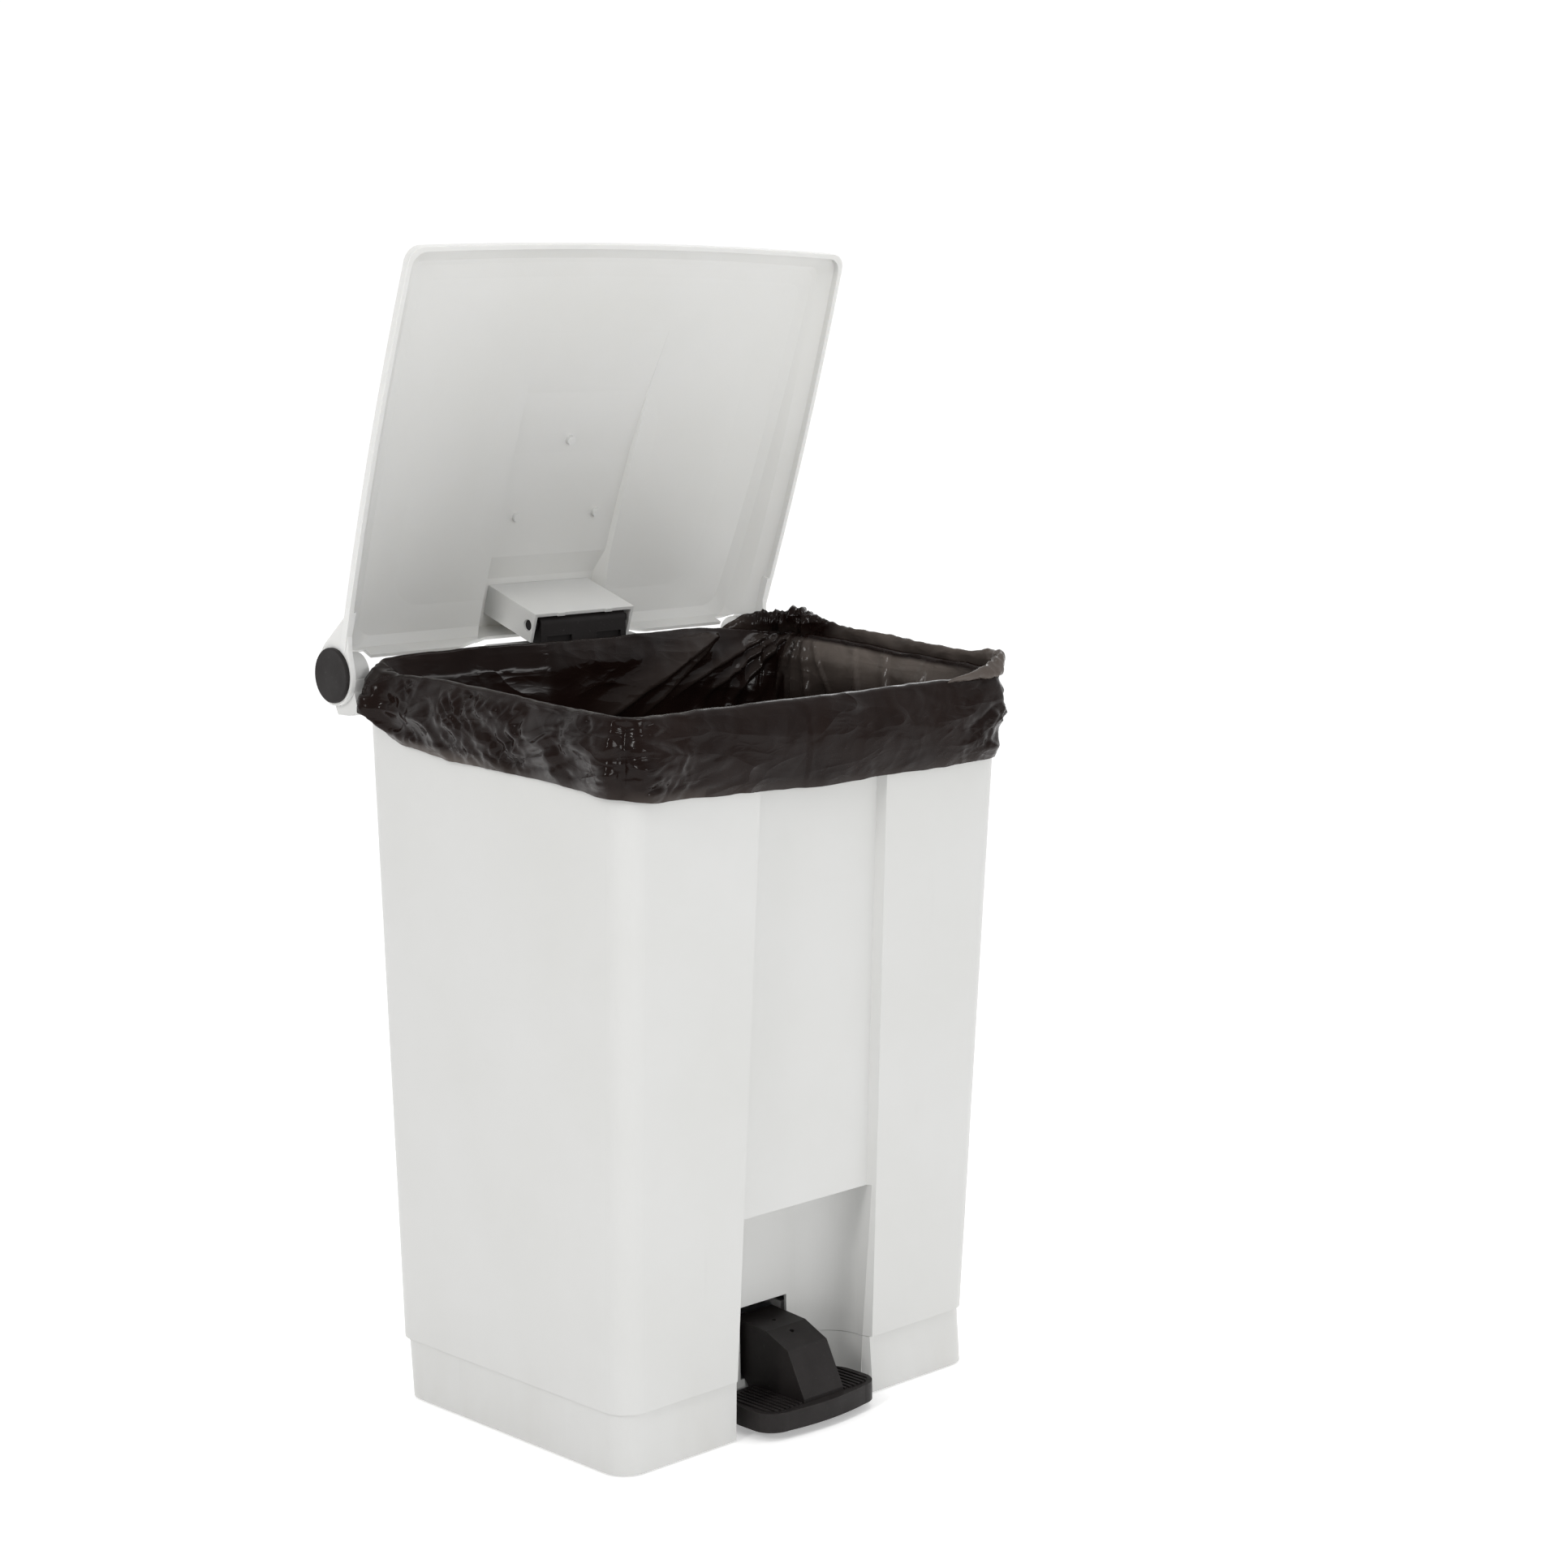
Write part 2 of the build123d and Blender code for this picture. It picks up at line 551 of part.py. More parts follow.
def make_liner():
    """Open bag lining the tub, folded over the rim and hanging outside as a cuff."""
    top = RIM_Z + 20
    inside = room(FLOOR_Z + 0.6 + FILM, top + 1, WALL + 0.6 + FILM)
    bag = room(FLOOR_Z + 0.6, top, WALL + 0.6)
    fold = (tub(RIM_Z - 5, top, -0.6 - FILM) & rim_slab(0.5, 0.5 + FILM))
    cuff = tub(CUFF_FOOT, top, -0.6 - FILM) - tub(CUFF_FOOT - 1, top + 1, -0.6)
    film = (bag + cuff + fold) - inside - rim_slab(0.5 + FILM, 60)

    # Nothing crosses the push-rod channel, and the cuff is slit at the hinge brackets
    film -= block(-CHANNEL_HALF - 1, CHANNEL_HALF + 1, CHANNEL_FRONT + 0.3, 200, FLOOR_Z, top + 5)
    film -= block(-93, 93, REAR - WALL - 0.5, REAR + 6, RIM_Z - 1, top + 5)
    for side in SIDES:
        x0, x1 = sorted((side * (BARREL_IN - 0.5), side * 206.0))
        film -= block(x0, x1, 126, 170, CUFF_FOOT - 5, top + 5)
    return film


# ---------------------------------------------------------------- assembly
def screws_up(places, z):
    return [Pos(x, y, z) * screw(1.95, 4.2, 22, 2.0) for x, y in places]


def cover_screws():
    found = []
    for x, z in COVER_SCREWS:
        found.append(Pos(x, REAR + 2.6, z) * Rot(90, 0, 0) * screw(1.75, 3.6, 7, 1.6))
    return found


def pedal_screws():
    found = []
    for y in LEVER_SCREWS:
        found.append(tilted(Pos(0, y, AXLE_Z + 2.9) * screw(1.8, 3.6, 5, 1.6)))
    return found


def parts_list():
    yield "body_shell", make_body()
    yield "base_tray", make_base()
    yield "foot_pads", make_feet()
    yield "base_screws", screws_up(POSTS, 4.15)
    yield "rear_cover", make_rear_cover()
    yield "cover_screws", cover_screws()
    yield "rod_guide", make_rod_guide()
    yield "lid_shell", opened(make_lid())
    yield "lift_bracket", opened(make_bracket())
    yield "connector_pin", opened(make_connector_pin())
    for side, name in ((-1, "left"), (1, "right")):
        yield "hinge_pin_" + name, make_hinge_pin(side)
        yield "hinge_bush_" + name, make_hinge_bush(side)
        yield "axle_bush_" + name, make_axle_bush(side)
    yield "connector_block", make_connector()
    yield "lift_rod", make_rod()
    yield "rod_locknut", make_locknut()
    yield "rod_foot", make_rod_foot()
    yield "pedal", make_pedal()
    yield "pedal_lever", make_lever()
    yield "lever_pad", make_lever_pad()
    yield "pedal_screws", pedal_screws()
    yield "pedal_axle", make_axle()
    yield "axle_clips", make_axle_clips()
    yield "pedal_stop", rod_z(8, 0, STOP_Y, 8.1, 14)
    yield "bin_liner", make_liner()


os.makedirs("parts", exist_ok=True)
for node, shape in parts_list():
    centred = Pos(0, -MIDDLE_Y, 0)
    if isinstance(shape, list):
        shape = Compound(children=[centred * piece for piece in shape])
    else:
        shape = centred * shape
    export_step(shape, "parts/" + node + ".step")
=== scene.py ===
"""Looks of the step-on pedal bin: camera, light, materials and the crumpled film liner."""
import json
from math import cos, pi, radians, sin

import bpy
import numpy as np
from mathutils import Euler, Matrix, Vector


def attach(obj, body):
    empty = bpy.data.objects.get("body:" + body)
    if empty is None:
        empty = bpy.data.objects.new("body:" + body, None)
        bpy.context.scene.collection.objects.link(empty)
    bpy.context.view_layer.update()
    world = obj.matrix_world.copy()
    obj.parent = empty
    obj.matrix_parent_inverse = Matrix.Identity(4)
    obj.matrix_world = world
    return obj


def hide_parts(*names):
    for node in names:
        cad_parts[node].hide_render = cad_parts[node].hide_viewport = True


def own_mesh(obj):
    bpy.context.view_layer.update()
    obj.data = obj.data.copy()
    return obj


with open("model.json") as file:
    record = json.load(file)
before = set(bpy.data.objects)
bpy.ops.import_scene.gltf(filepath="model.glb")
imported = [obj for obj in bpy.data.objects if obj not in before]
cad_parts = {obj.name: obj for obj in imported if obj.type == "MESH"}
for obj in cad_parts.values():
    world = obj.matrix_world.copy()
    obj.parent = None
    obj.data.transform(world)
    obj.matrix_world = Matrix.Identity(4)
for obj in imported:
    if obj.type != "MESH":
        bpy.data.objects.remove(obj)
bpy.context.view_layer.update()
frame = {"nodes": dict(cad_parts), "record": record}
MM = 0.001


# ---------------------------------------------------------------- camera
def make_camera():
    """Front left of the bin, a little above the lid hinge, looking slightly down."""
    data = bpy.data.cameras.new("camera")
    data.lens = 68.56
    data.sensor_width = 36.0
    data.shift_x = -0.0503
    camera = bpy.data.objects.new("camera", data)
    bpy.context.collection.objects.link(camera)
    turn = Euler((radians(90 - 8.3), 0, radians(-44.6))).to_matrix()
    roll = Matrix.Rotation(radians(-0.6), 3, "Z")
    camera.matrix_world = Matrix.Translation((-1.4664, -1.691, 0.789)) @ (turn @ roll).to_4x4()
    bpy.context.scene.camera = camera


# ---------------------------------------------------------------- light and floor
def area_light(name, place, target, size, watts, colour=(1, 1, 1)):
    data = bpy.data.lights.new(name, "AREA")
    data.shape = "RECTANGLE"
    data.size, data.size_y = size
    data.energy = watts
    data.color = colour
    lamp = bpy.data.objects.new(name, data)
    lamp.location = place
    lamp.rotation_euler = (Vector(target) - Vector(place)).to_track_quat("-Z", "Y").to_euler()
    bpy.context.collection.objects.link(lamp)


def make_studio():
    world = bpy.data.worlds.new("studio")
    world.use_nodes = True
    tree = world.node_tree
    back = tree.nodes["Background"]
    back.inputs["Color"].default_value = (1.0, 1.0, 1.0, 1)
    # a white backdrop behind the bin and overhead, a dimmer room in front of it
    coord = tree.nodes.new("ShaderNodeTexCoord")
    facing = tree.nodes.new("ShaderNodeVectorMath")
    facing.operation = "DOT_PRODUCT"
    facing.inputs[1].default_value = (0.66, 0.68, 0.32)
    tree.links.new(coord.outputs["Generated"], facing.inputs[0])
    fade = tree.nodes.new("ShaderNodeMapRange")
    fade.interpolation_type = "SMOOTHSTEP"
    for name, value in (("From Min", -0.75), ("From Max", 0.65),
                        ("To Min", 0.34), ("To Max", 1.05)):
        fade.inputs[name].default_value = value
    tree.links.new(facing.outputs["Value"], fade.inputs["Value"])
    tree.links.new(fade.outputs["Result"], back.inputs["Strength"])
    bpy.context.scene.world = world
    bpy.context.scene.view_settings.view_transform = "Standard"
    centre = (0, 0, 0.45)
    area_light("key", (-2.3, -0.6, 1.7), centre, (0.22, 1.0), 19, (1, 0.99, 0.98))
    area_light("front", (-0.3, -2.8, 1.0), (0, 0, 0.65), (1.3, 0.45), 18)
    area_light("top", (0.2, -0.4, 2.7), centre, (0.8, 0.8), 10)
    area_light("rim", (2.4, 1.4, 1.9), centre, (0.6, 1.2), 6, (0.98, 0.99, 1))

    mesh = bpy.data.meshes.new("floor")
    half = 6.0
    mesh.from_pydata([(-half, -half, 0), (half, -half, 0), (half, half, 0), (-half, half, 0)], [],
                     [(0, 1, 2, 3)])
    floor = bpy.data.objects.new("floor", mesh)
    bpy.context.collection.objects.link(floor)
    material = bpy.data.materials.new("floor_white")
    material.use_nodes = True
    shader = material.node_tree.nodes["Principled BSDF"]
    shader.inputs["Base Color"].default_value = (0.93, 0.93, 0.93, 1)
    shader.inputs["Roughness"].default_value = 0.9
    shader.inputs["Emission Color"].default_value = (1, 1, 1, 1)
    shader.inputs["Emission Strength"].default_value = 0.30
    mesh.materials.append(material)


# ---------------------------------------------------------------- material helpers
def new_material(name):
    material = bpy.data.materials.new(name)
    material.use_nodes = True
    return material, material.node_tree, material.node_tree.nodes["Principled BSDF"]


def noise(tree, scale, detail, stretch=None):
    """Noise in object space; stretch gives a different scale along each axis."""
    coord = tree.nodes.new("ShaderNodeTexCoord")
    node = tree.nodes.new("ShaderNodeTexNoise")
    node.inputs["Scale"].default_value = scale
    node.inputs["Detail"].default_value = detail
    node.inputs["Roughness"].default_value = 0.55
    source = coord.outputs["Object"]
    if stretch:
        mapping = tree.nodes.new("ShaderNodeMapping")
        mapping.inputs["Scale"].default_value = stretch
        tree.links.new(source, mapping.inputs["Vector"])
        source = mapping.outputs["Vector"]
    tree.links.new(source, node.inputs["Vector"])
    return node.outputs["Fac"]


def span(tree, value, low, high, out_low, out_high):
    node = tree.nodes.new("ShaderNodeMapRange")
    node.inputs["From Min"].default_value = low
    node.inputs["From Max"].default_value = high
    node.inputs["To Min"].default_value = out_low
    node.inputs["To Max"].default_value = out_high
    tree.links.new(value, node.inputs["Value"])
    return node.outputs["Result"]


def times(tree, one, two):
    node = tree.nodes.new("ShaderNodeMath")
    node.operation = "MULTIPLY"
    tree.links.new(one, node.inputs[0])
    tree.links.new(two, node.inputs[1])
    return node.outputs[0]


def tint(tree, factor, base, other):
    """Mixes the colour base towards other by factor."""
    node = tree.nodes.new("ShaderNodeMix")
    node.data_type = "RGBA"
    tree.links.new(factor, node.inputs["Factor"])
    for socket, colour in ((6, base), (7, other)):
        if isinstance(colour, tuple):
            node.inputs[socket].default_value = (*colour, 1)
        else:
            tree.links.new(colour, node.inputs[socket])
    return node.outputs[2]


def bumps(tree, shader, layers):
    """Chains bump maps, each (height, strength, distance in metres)."""
    last = None
    for height, strength, distance in layers:
        node = tree.nodes.new("ShaderNodeBump")
        node.inputs["Strength"].default_value = strength
        node.inputs["Distance"].default_value = distance
        tree.links.new(height, node.inputs["Height"])
        if last is not None:
            tree.links.new(last.outputs["Normal"], node.inputs["Normal"])
        last = node
    tree.links.new(last.outputs["Normal"], shader.inputs["Normal"])


def edges(tree, radius):
    """1 along sharp edges, 0 on open faces."""
    bevel = tree.nodes.new("ShaderNodeBevel")
    bevel.samples = 4
    bevel.inputs["Radius"].default_value = radius
    geometry = tree.nodes.new("ShaderNodeNewGeometry")
    dot = tree.nodes.new("ShaderNodeVectorMath")
    dot.operation = "DOT_PRODUCT"
    tree.links.new(bevel.outputs["Normal"], dot.inputs[0])
    tree.links.new(geometry.outputs["Normal"], dot.inputs[1])
    return span(tree, dot.outputs["Value"], 0.98, 0.80, 0.0, 1.0)


def height_above_floor(tree, low, high):
    """1 at or below the low height, fading to 0 at the high one."""
    coord = tree.nodes.new("ShaderNodeTexCoord")
    split = tree.nodes.new("ShaderNodeSeparateXYZ")
    tree.links.new(coord.outputs["Object"], split.inputs[0])
    return span(tree, split.outputs["Z"], low, high, 1.0, 0.0)


def white_plastic(name, colour, roughness, glow=0.0):
    material, tree, shader = new_material(name)
    shader.inputs["Subsurface Weight"].default_value = glow
    shader.inputs["Subsurface Radius"].default_value = (1.0, 0.96, 0.90)
    shader.inputs["Subsurface Scale"].default_value = 0.004
    r, g, b = colour
    cloud = span(tree, noise(tree, 7, 4), 0.3, 0.7, 0.0, 1.0)
    colours = tint(tree, cloud, colour, (r * 0.965, g * 0.965, b * 0.955))
    worn = times(tree, edges(tree, 0.0012), span(tree, noise(tree, 60, 4), 0.45, 0.7, 0.0, 0.45))
    colours = tint(tree, worn, colours, (r * 0.86, g * 0.85, b * 0.83))
    dust = times(tree, height_above_floor(tree, 0.0, 0.09),
                 span(tree, noise(tree, 25, 5, stretch=(1, 1, 0.35)), 0.42, 0.75, 0.0, 0.30))
    colours = tint(tree, dust, colours, (r * 0.80, g * 0.78, b * 0.74))
    scuff = span(tree, noise(tree, 90, 2, stretch=(1, 1, 0.12)), 0.70, 0.78, 0.0, 0.16)
    colours = tint(tree, scuff, colours, (r * 0.90, g * 0.90, b * 0.89))
    tree.links.new(colours, shader.inputs["Base Color"])
    tree.links.new(span(tree, noise(tree, 18, 5), 0.3, 0.7, roughness - 0.05, roughness + 0.06),
                   shader.inputs["Roughness"])
    shader.inputs["Specular IOR Level"].default_value = 0.45
    bumps(tree, shader, ((noise(tree, 9, 1), 0.25, 0.0012), (noise(tree, 900, 2), 0.22, 0.00012)))
    return material


def black_plastic():
    material, tree, shader = new_material("black_plastic_moulded")
    cloud = span(tree, noise(tree, 30, 4), 0.3, 0.7, 0.0, 1.0)
    colours = tint(tree, cloud, (0.0115, 0.0095, 0.0093), (0.0165, 0.0140, 0.0136))
    worn = times(tree, edges(tree, 0.0010), span(tree, noise(tree, 120, 4), 0.4, 0.65, 0.1, 0.7))
    colours = tint(tree, worn, colours, (0.050, 0.046, 0.044))
    dust = span(tree, noise(tree, 420, 3), 0.66, 0.74, 0.0, 0.22)
    colours = tint(tree, dust, colours, (0.10, 0.095, 0.09))
    tree.links.new(colours, shader.inputs["Base Color"])
    tree.links.new(span(tree, noise(tree, 45, 4), 0.3, 0.7, 0.45, 0.62), shader.inputs["Roughness"])
    shader.inputs["Specular IOR Level"].default_value = 0.22
    bumps(tree, shader, ((noise(tree, 1500, 2), 0.55, 0.00018),))
    return material


def zinc_steel():
    material, tree, shader = new_material("zinc_plated_steel")
    shader.inputs["Metallic"].default_value = 1.0
    spangle = span(tree, noise(tree, 140, 3), 0.35, 0.65, 0.0, 1.0)
    colours = tint(tree, spangle, (0.56, 0.57, 0.59), (0.66, 0.66, 0.66))
    grime = times(tree, edges(tree, 0.0006), span(tree, noise(tree, 300, 3), 0.4, 0.6, 0.2, 0.8))
    colours = tint(tree, grime, colours, (0.30, 0.29, 0.27))
    tree.links.new(colours, shader.inputs["Base Color"])
    drawn = noise(tree, 60, 4, stretch=(14, 14, 0.6))
    tree.links.new(span(tree, drawn, 0.3, 0.7, 0.26, 0.44), shader.inputs["Roughness"])
    bumps(tree, shader, ((drawn, 0.25, 0.00008), (noise(tree, 1800, 2), 0.2, 0.00005)))
    return material


def nylon():
    material, tree, shader = new_material("natural_nylon")
    cloud = span(tree, noise(tree, 90, 3), 0.3, 0.7, 0.0, 1.0)
    colours = tint(tree, cloud, (0.74, 0.71, 0.63), (0.80, 0.78, 0.71))
    grime = times(tree, edges(tree, 0.0006), span(tree, noise(tree, 200, 3), 0.45, 0.6, 0.0, 0.6))
    colours = tint(tree, grime, colours, (0.42, 0.39, 0.33))
    tree.links.new(colours, shader.inputs["Base Color"])
    tree.links.new(span(tree, noise(tree, 120, 3), 0.3, 0.7, 0.38, 0.5), shader.inputs["Roughness"])
    shader.inputs["Subsurface Weight"].default_value = 0.15
    shader.inputs["Subsurface Radius"].default_value = (0.003, 0.003, 0.002)
    shader.inputs["Subsurface Scale"].default_value = 0.5
    bumps(tree, shader, ((noise(tree, 1100, 2), 0.25, 0.0001),))
    return material


def rubber():
    material, tree, shader = new_material("grey_rubber")
    cloud = span(tree, noise(tree, 60, 4), 0.3, 0.7, 0.0, 1.0)
    colours = tint(tree, cloud, (0.085, 0.085, 0.085), (0.12, 0.118, 0.115))
    worn = times(tree, edges(tree, 0.0008), span(tree, noise(tree, 150, 3), 0.4, 0.65, 0.1, 0.8))
    colours = tint(tree, worn, colours, (0.22, 0.21, 0.20))
    tree.links.new(colours, shader.inputs["Base Color"])
    tree.links.new(span(tree, noise(tree, 80, 3), 0.3, 0.7, 0.72, 0.9), shader.inputs["Roughness"])
    bumps(tree, shader, ((noise(tree, 1300, 2), 0.5, 0.0002),))
    return material


def film_material():
    """Thin black-brown film: deep gloss with fine crinkles; its colour is lifted to a light
    brown-grey by a per-point attribute, as painted light showing through the film and along its
    pleats.
    """
    material, tree, shader = new_material("crumpled_film")
    glow_attribute = tree.nodes.new("ShaderNodeAttribute")
    glow_attribute.attribute_name = "painted_glow"
    cloud = span(tree, noise(tree, 22, 4), 0.3, 0.7, 0.0, 1.0)
    colours = tint(tree, cloud, (0.0070, 0.0036, 0.0029), (0.0112, 0.0060, 0.0048))
    # painted light: where the per-point attribute is high, the film's colour is lifted towards a
    # light brown-grey, standing in for light showing through the film and along its pleats
    colours = tint(tree, glow_attribute.outputs["Fac"], colours, (0.20, 0.170, 0.150))
    tree.links.new(colours, shader.inputs["Base Color"])
    tree.links.new(span(tree, noise(tree, 35, 4), 0.3, 0.7, 0.11, 0.22), shader.inputs["Roughness"])
    shader.inputs["Specular IOR Level"].default_value = 0.13
    layers = []
    patches = span(tree, noise(tree, 14, 2), 0.42, 0.62, 0.25, 1.0)
    for scale, turn, strength, distance in ((17, 0.35, 0.55, 0.0040), (34, -0.5, 0.40, 0.0022),
                                            (80, 0.9, 0.25, 0.0009)):
        coord = tree.nodes.new("ShaderNodeTexCoord")
        mapping = tree.nodes.new("ShaderNodeMapping")
        mapping.inputs["Rotation"].default_value = (turn, turn * 0.7, 0.0)
        mapping.inputs["Scale"].default_value = (0.7, 0.7, 1.7)
        crumple = tree.nodes.new("ShaderNodeTexNoise")
        crumple.noise_type = "RIDGED_MULTIFRACTAL"
        crumple.normalize = False
        crumple.inputs["Scale"].default_value = scale
        crumple.inputs["Detail"].default_value = 2.5
        crumple.inputs["Roughness"].default_value = 0.4
        crumple.inputs["Offset"].default_value = 0.9
        crumple.inputs["Gain"].default_value = 0.8
        crumple.inputs["Distortion"].default_value = 0.6
        tree.links.new(coord.outputs["Object"], mapping.inputs["Vector"])
        tree.links.new(mapping.outputs["Vector"], crumple.inputs["Vector"])
        layers.append((times(tree, crumple.outputs["Fac"], patches), strength, distance))
    bumps(tree, shader, layers)
    return material


def dress_cad_nodes():
    looks = {
        # painted light: the lid's parts get a lighter white than the body, though both are the same
        # white plastic; the lighter colour stands in for the light on the lid's inner face
        "white_body": white_plastic("white_body_moulded", (0.600, 0.601, 0.592), 0.42),
        "white_lid": white_plastic("white_lid_painted_lighter", (0.685, 0.686, 0.675), 0.38, 0.35),
        "black_plastic": black_plastic(), "zinc_steel": zinc_steel(),
        "natural_nylon": nylon(), "grey_rubber": rubber(), "black_film": film_material(),
    }
    for part in frame["record"]["subparts"]:
        obj = frame["nodes"][part["node"]]
        look = looks[part["material_slot"]]
        if not obj.material_slots:
            obj.data.materials.append(look)
        for place in obj.material_slots:
            place.material = look
    return looks


# ---------------------------------------------------------------- bin liner
# millimetres, from the middle of the tub's base
RIM_R = 19.0                            # corner of the fold line round the rim
RIM_HALF = 188.6                        # half its width
RIM_FRONT = -156.5
CHANNEL_Y = 96.4                        # its straight stretch in front of the rear channel
TAPER_TOP, TAPER_DROP = 544, 498        # height where the tub's taper starts, and how far it runs
SIDE_TAPER = 11.1                       # each side's lean over that height
REAR_Y, RIM_DEPTH, DEPTH_TAPER = 146, 302.5, 31.7
FOLD_H = 3.5                            # height of the rounded fold over the rim
BAG_FLOOR = 183.0
ROUND, CUFF_ROWS, FOLD_ROWS, FLOOR_ROWS = 640, 40, 9, 15
TUB = np.array([0.0, -13.0, 0.0])       # film is laid out from the middle of the tub's base


def film_path(count):
    """Closed fold line round the tub's rim, from the channel over the left side to the front."""
    corner = [(-RIM_HALF + RIM_R - RIM_R * cos(a), RIM_FRONT + RIM_R - RIM_R * sin(a))
              for a in np.linspace(0, pi / 2, 9)]
    left = [(0, CHANNEL_Y), (-52, CHANNEL_Y), (-62, 100), (-146, 132), (-164, 135), (-177, 133),
            (-185.5, 127), (-189, 120), (-188.6, 108), (-188.4, 60), (-188.5, 0), (-188.6, -70)]
    left += corner + [(-90, RIM_FRONT), (0, RIM_FRONT), (90, RIM_FRONT)]
    right = [(-x, y) for x, y in reversed(corner)]
    right += [(188.6, -70), (188.5, 0), (188.4, 40), (186.5, 66), (179, 84), (165, 96), (148, 102),
              (110, 104), (75, 101), (56, 97.5), (48, CHANNEL_Y)]
    points = np.array(left + right + left[:1], float)
    run = np.concatenate([[0], np.cumsum(np.hypot(*np.diff(points, axis=0).T))])
    at = np.linspace(0, run[-1], count, endpoint=False)
    path = np.stack([np.interp(at, run, points[:, k]) for k in (0, 1)], 1)
    for _ in range(3):
        path = (np.roll(path, 1, 0) + 2 * path + np.roll(path, -1, 0)) / 4
    ahead = np.roll(path, -1, 0) - np.roll(path, 1, 0)
    normal = np.stack([-ahead[:, 1], ahead[:, 0]], 1)
    normal /= np.linalg.norm(normal, axis=1)[:, None]
    if (normal * path).sum() < 0:
        normal = -normal
    return path, normal, at, run[-1]


def arc_at(path, at, x, y):
    return at[np.argmin(np.hypot(path[:, 0] - x, path[:, 1] - y))]


def along(path, at, total, table):
    """Values round the rim from a table of (x, y, value), straight between its places."""
    places = sorted((arc_at(path, at, x, y), value) for x, y, value in table)
    where = np.array([p for p, _ in places])
    value = np.array([v for _, v in places])
    out = np.interp(at, np.r_[where[-1] - total, where, where[0] + total],
                    np.r_[value[-1], value, value[0]])
    for _ in range(4):
        out = (np.roll(out, 1) + 2 * out + np.roll(out, -1)) / 4
    return out


def creases(u, v, cell, seed, stretch=(1.0, 1.0), slant=0.0):
    """Crumple height, 0 to about 1: facets round scattered points, meeting in sharp creases."""
    rng = np.random.default_rng(seed)
    c, s = cos(slant), sin(slant)
    a = (u * c + v * s) / (cell * stretch[0])
    b = (v * c - u * s) / (cell * stretch[1])
    ia, ib = np.floor(a).astype(int), np.floor(b).astype(int)
    spots = rng.random((256, 256, 3))
    nearest, second = np.full(a.shape, 9.0), np.full(a.shape, 9.0)
    for da in (-1, 0, 1):
        for db in (-1, 0, 1):
            spot = spots[(ia + da) % 256, (ib + db) % 256]
            gap = np.hypot(ia + da + spot[..., 0] - a, ib + db + spot[..., 1] - b)
            gap = gap * (0.75 + 0.5 * spot[..., 2])
            second = np.minimum(second, np.maximum(nearest, gap))
            nearest = np.minimum(nearest, gap)
    return second - nearest


def ridges(u, v, long, short, slant, seed):
    """Long sharp creases running at a slant, -1 to 1, with slack film between them."""
    c, s = cos(slant), sin(slant)
    wander = 0.35 * short * drift(u, v, 2.2 * short, seed + 50)
    value = drift((u * c + v * s) / long, (v * c - u * s + wander) / short, 1.0, seed)
    return 1 - 2.4 * np.abs(value)


def drift(u, v, cell, seed):
    """Smooth noise, about -1 to 1."""
    grid = np.random.default_rng(seed).uniform(-1, 1, (256, 256))
    a, b = u / cell, v / cell
    ia, ib = np.floor(a).astype(int), np.floor(b).astype(int)
    fa, fb = a - ia, b - ib
    fa, fb = fa * fa * (3 - 2 * fa), fb * fb * (3 - 2 * fb)

    def corner(p, q):
        return grid[p % 256, q % 256]
    low = corner(ia, ib) * (1 - fa) + corner(ia + 1, ib) * fa
    high = corner(ia, ib + 1) * (1 - fa) + corner(ia + 1, ib + 1) * fa
    return low * (1 - fb) + high * fb


def pleat(a, d, start, end, width, height):
    """Fold of the film along a line between two (arc, depth) places: a slope, then a drop."""
    (a0, d0), (a1, d1) = start, end
    length = np.hypot(a1 - a0, d1 - d0)
    ex, ey = (a1 - a0) / length, (d1 - d0) / length
    reach = (a - a0) * ex + (d - d0) * ey
    across = (-(a - a0) * ey + (d - d0) * ex) / width
    fade = np.clip(reach / 10 + 1, 0, 1) * np.clip((length - reach) / 30 + 0.6, 0, 1)
    fade = fade * (1 - 0.35 * np.clip(reach / length, 0, 1))
    slope = np.clip((across + 1) / 2, 0, 1) * np.clip((1 - across) * 3, 0, 1)
    return height * fade * slope


CREST = [(0, 96, 571), (-57, 97, 571.5), (-100, 114, 570.5), (-146, 132, 568.5), (-177, 133, 567),
         (-185.5, 127, 564.5), (-189, 119, 560.5), (-188, 100, 558.3), (-188, 60, 557.8),
         (-188, 31, 557), (-188, -6, 554.8), (-188, -43, 552), (-188, -96, 548.8),
         (-184, -150, 546), (-150, -156, 545.6), (-60, -156, 545.6), (60, -156, 545.6),
         (140, -156, 545.6), (182, -150, 546), (188, -116, 550.5), (188, -60, 553.8),
         (188, -37, 555.8), (188, 0, 558.5), (188, 40, 561.5), (186.5, 66, 563.5), (179, 84, 564),
         (148, 102, 567), (110, 104, 570), (56, 97, 571)]
HEM = [(0, 96, 553), (-57, 97, 552), (-100, 114, 551), (-146, 132, 549), (-177, 133, 547),
       (-185.5, 127, 538), (-189, 121, 524), (-188, 108, 512), (-188, 91, 507.5), (-188, 33, 501),
       (-188, -42, 497.5), (-188, -95, 495), (-188.6, -130, 492), (-183, -151, 488.5),
       (-169, -156, 485.5), (-132, -156, 486), (-56, -156, 482), (0, -156, 480.5),
       (110, -156, 480), (170, -156, 481), (188, -120, 484), (188, -40, 489), (188, 30, 497),
       (186.5, 66, 511), (179, 84, 531), (165, 96, 546), (148, 102, 550), (110, 104, 552),
       (56, 97, 553)]


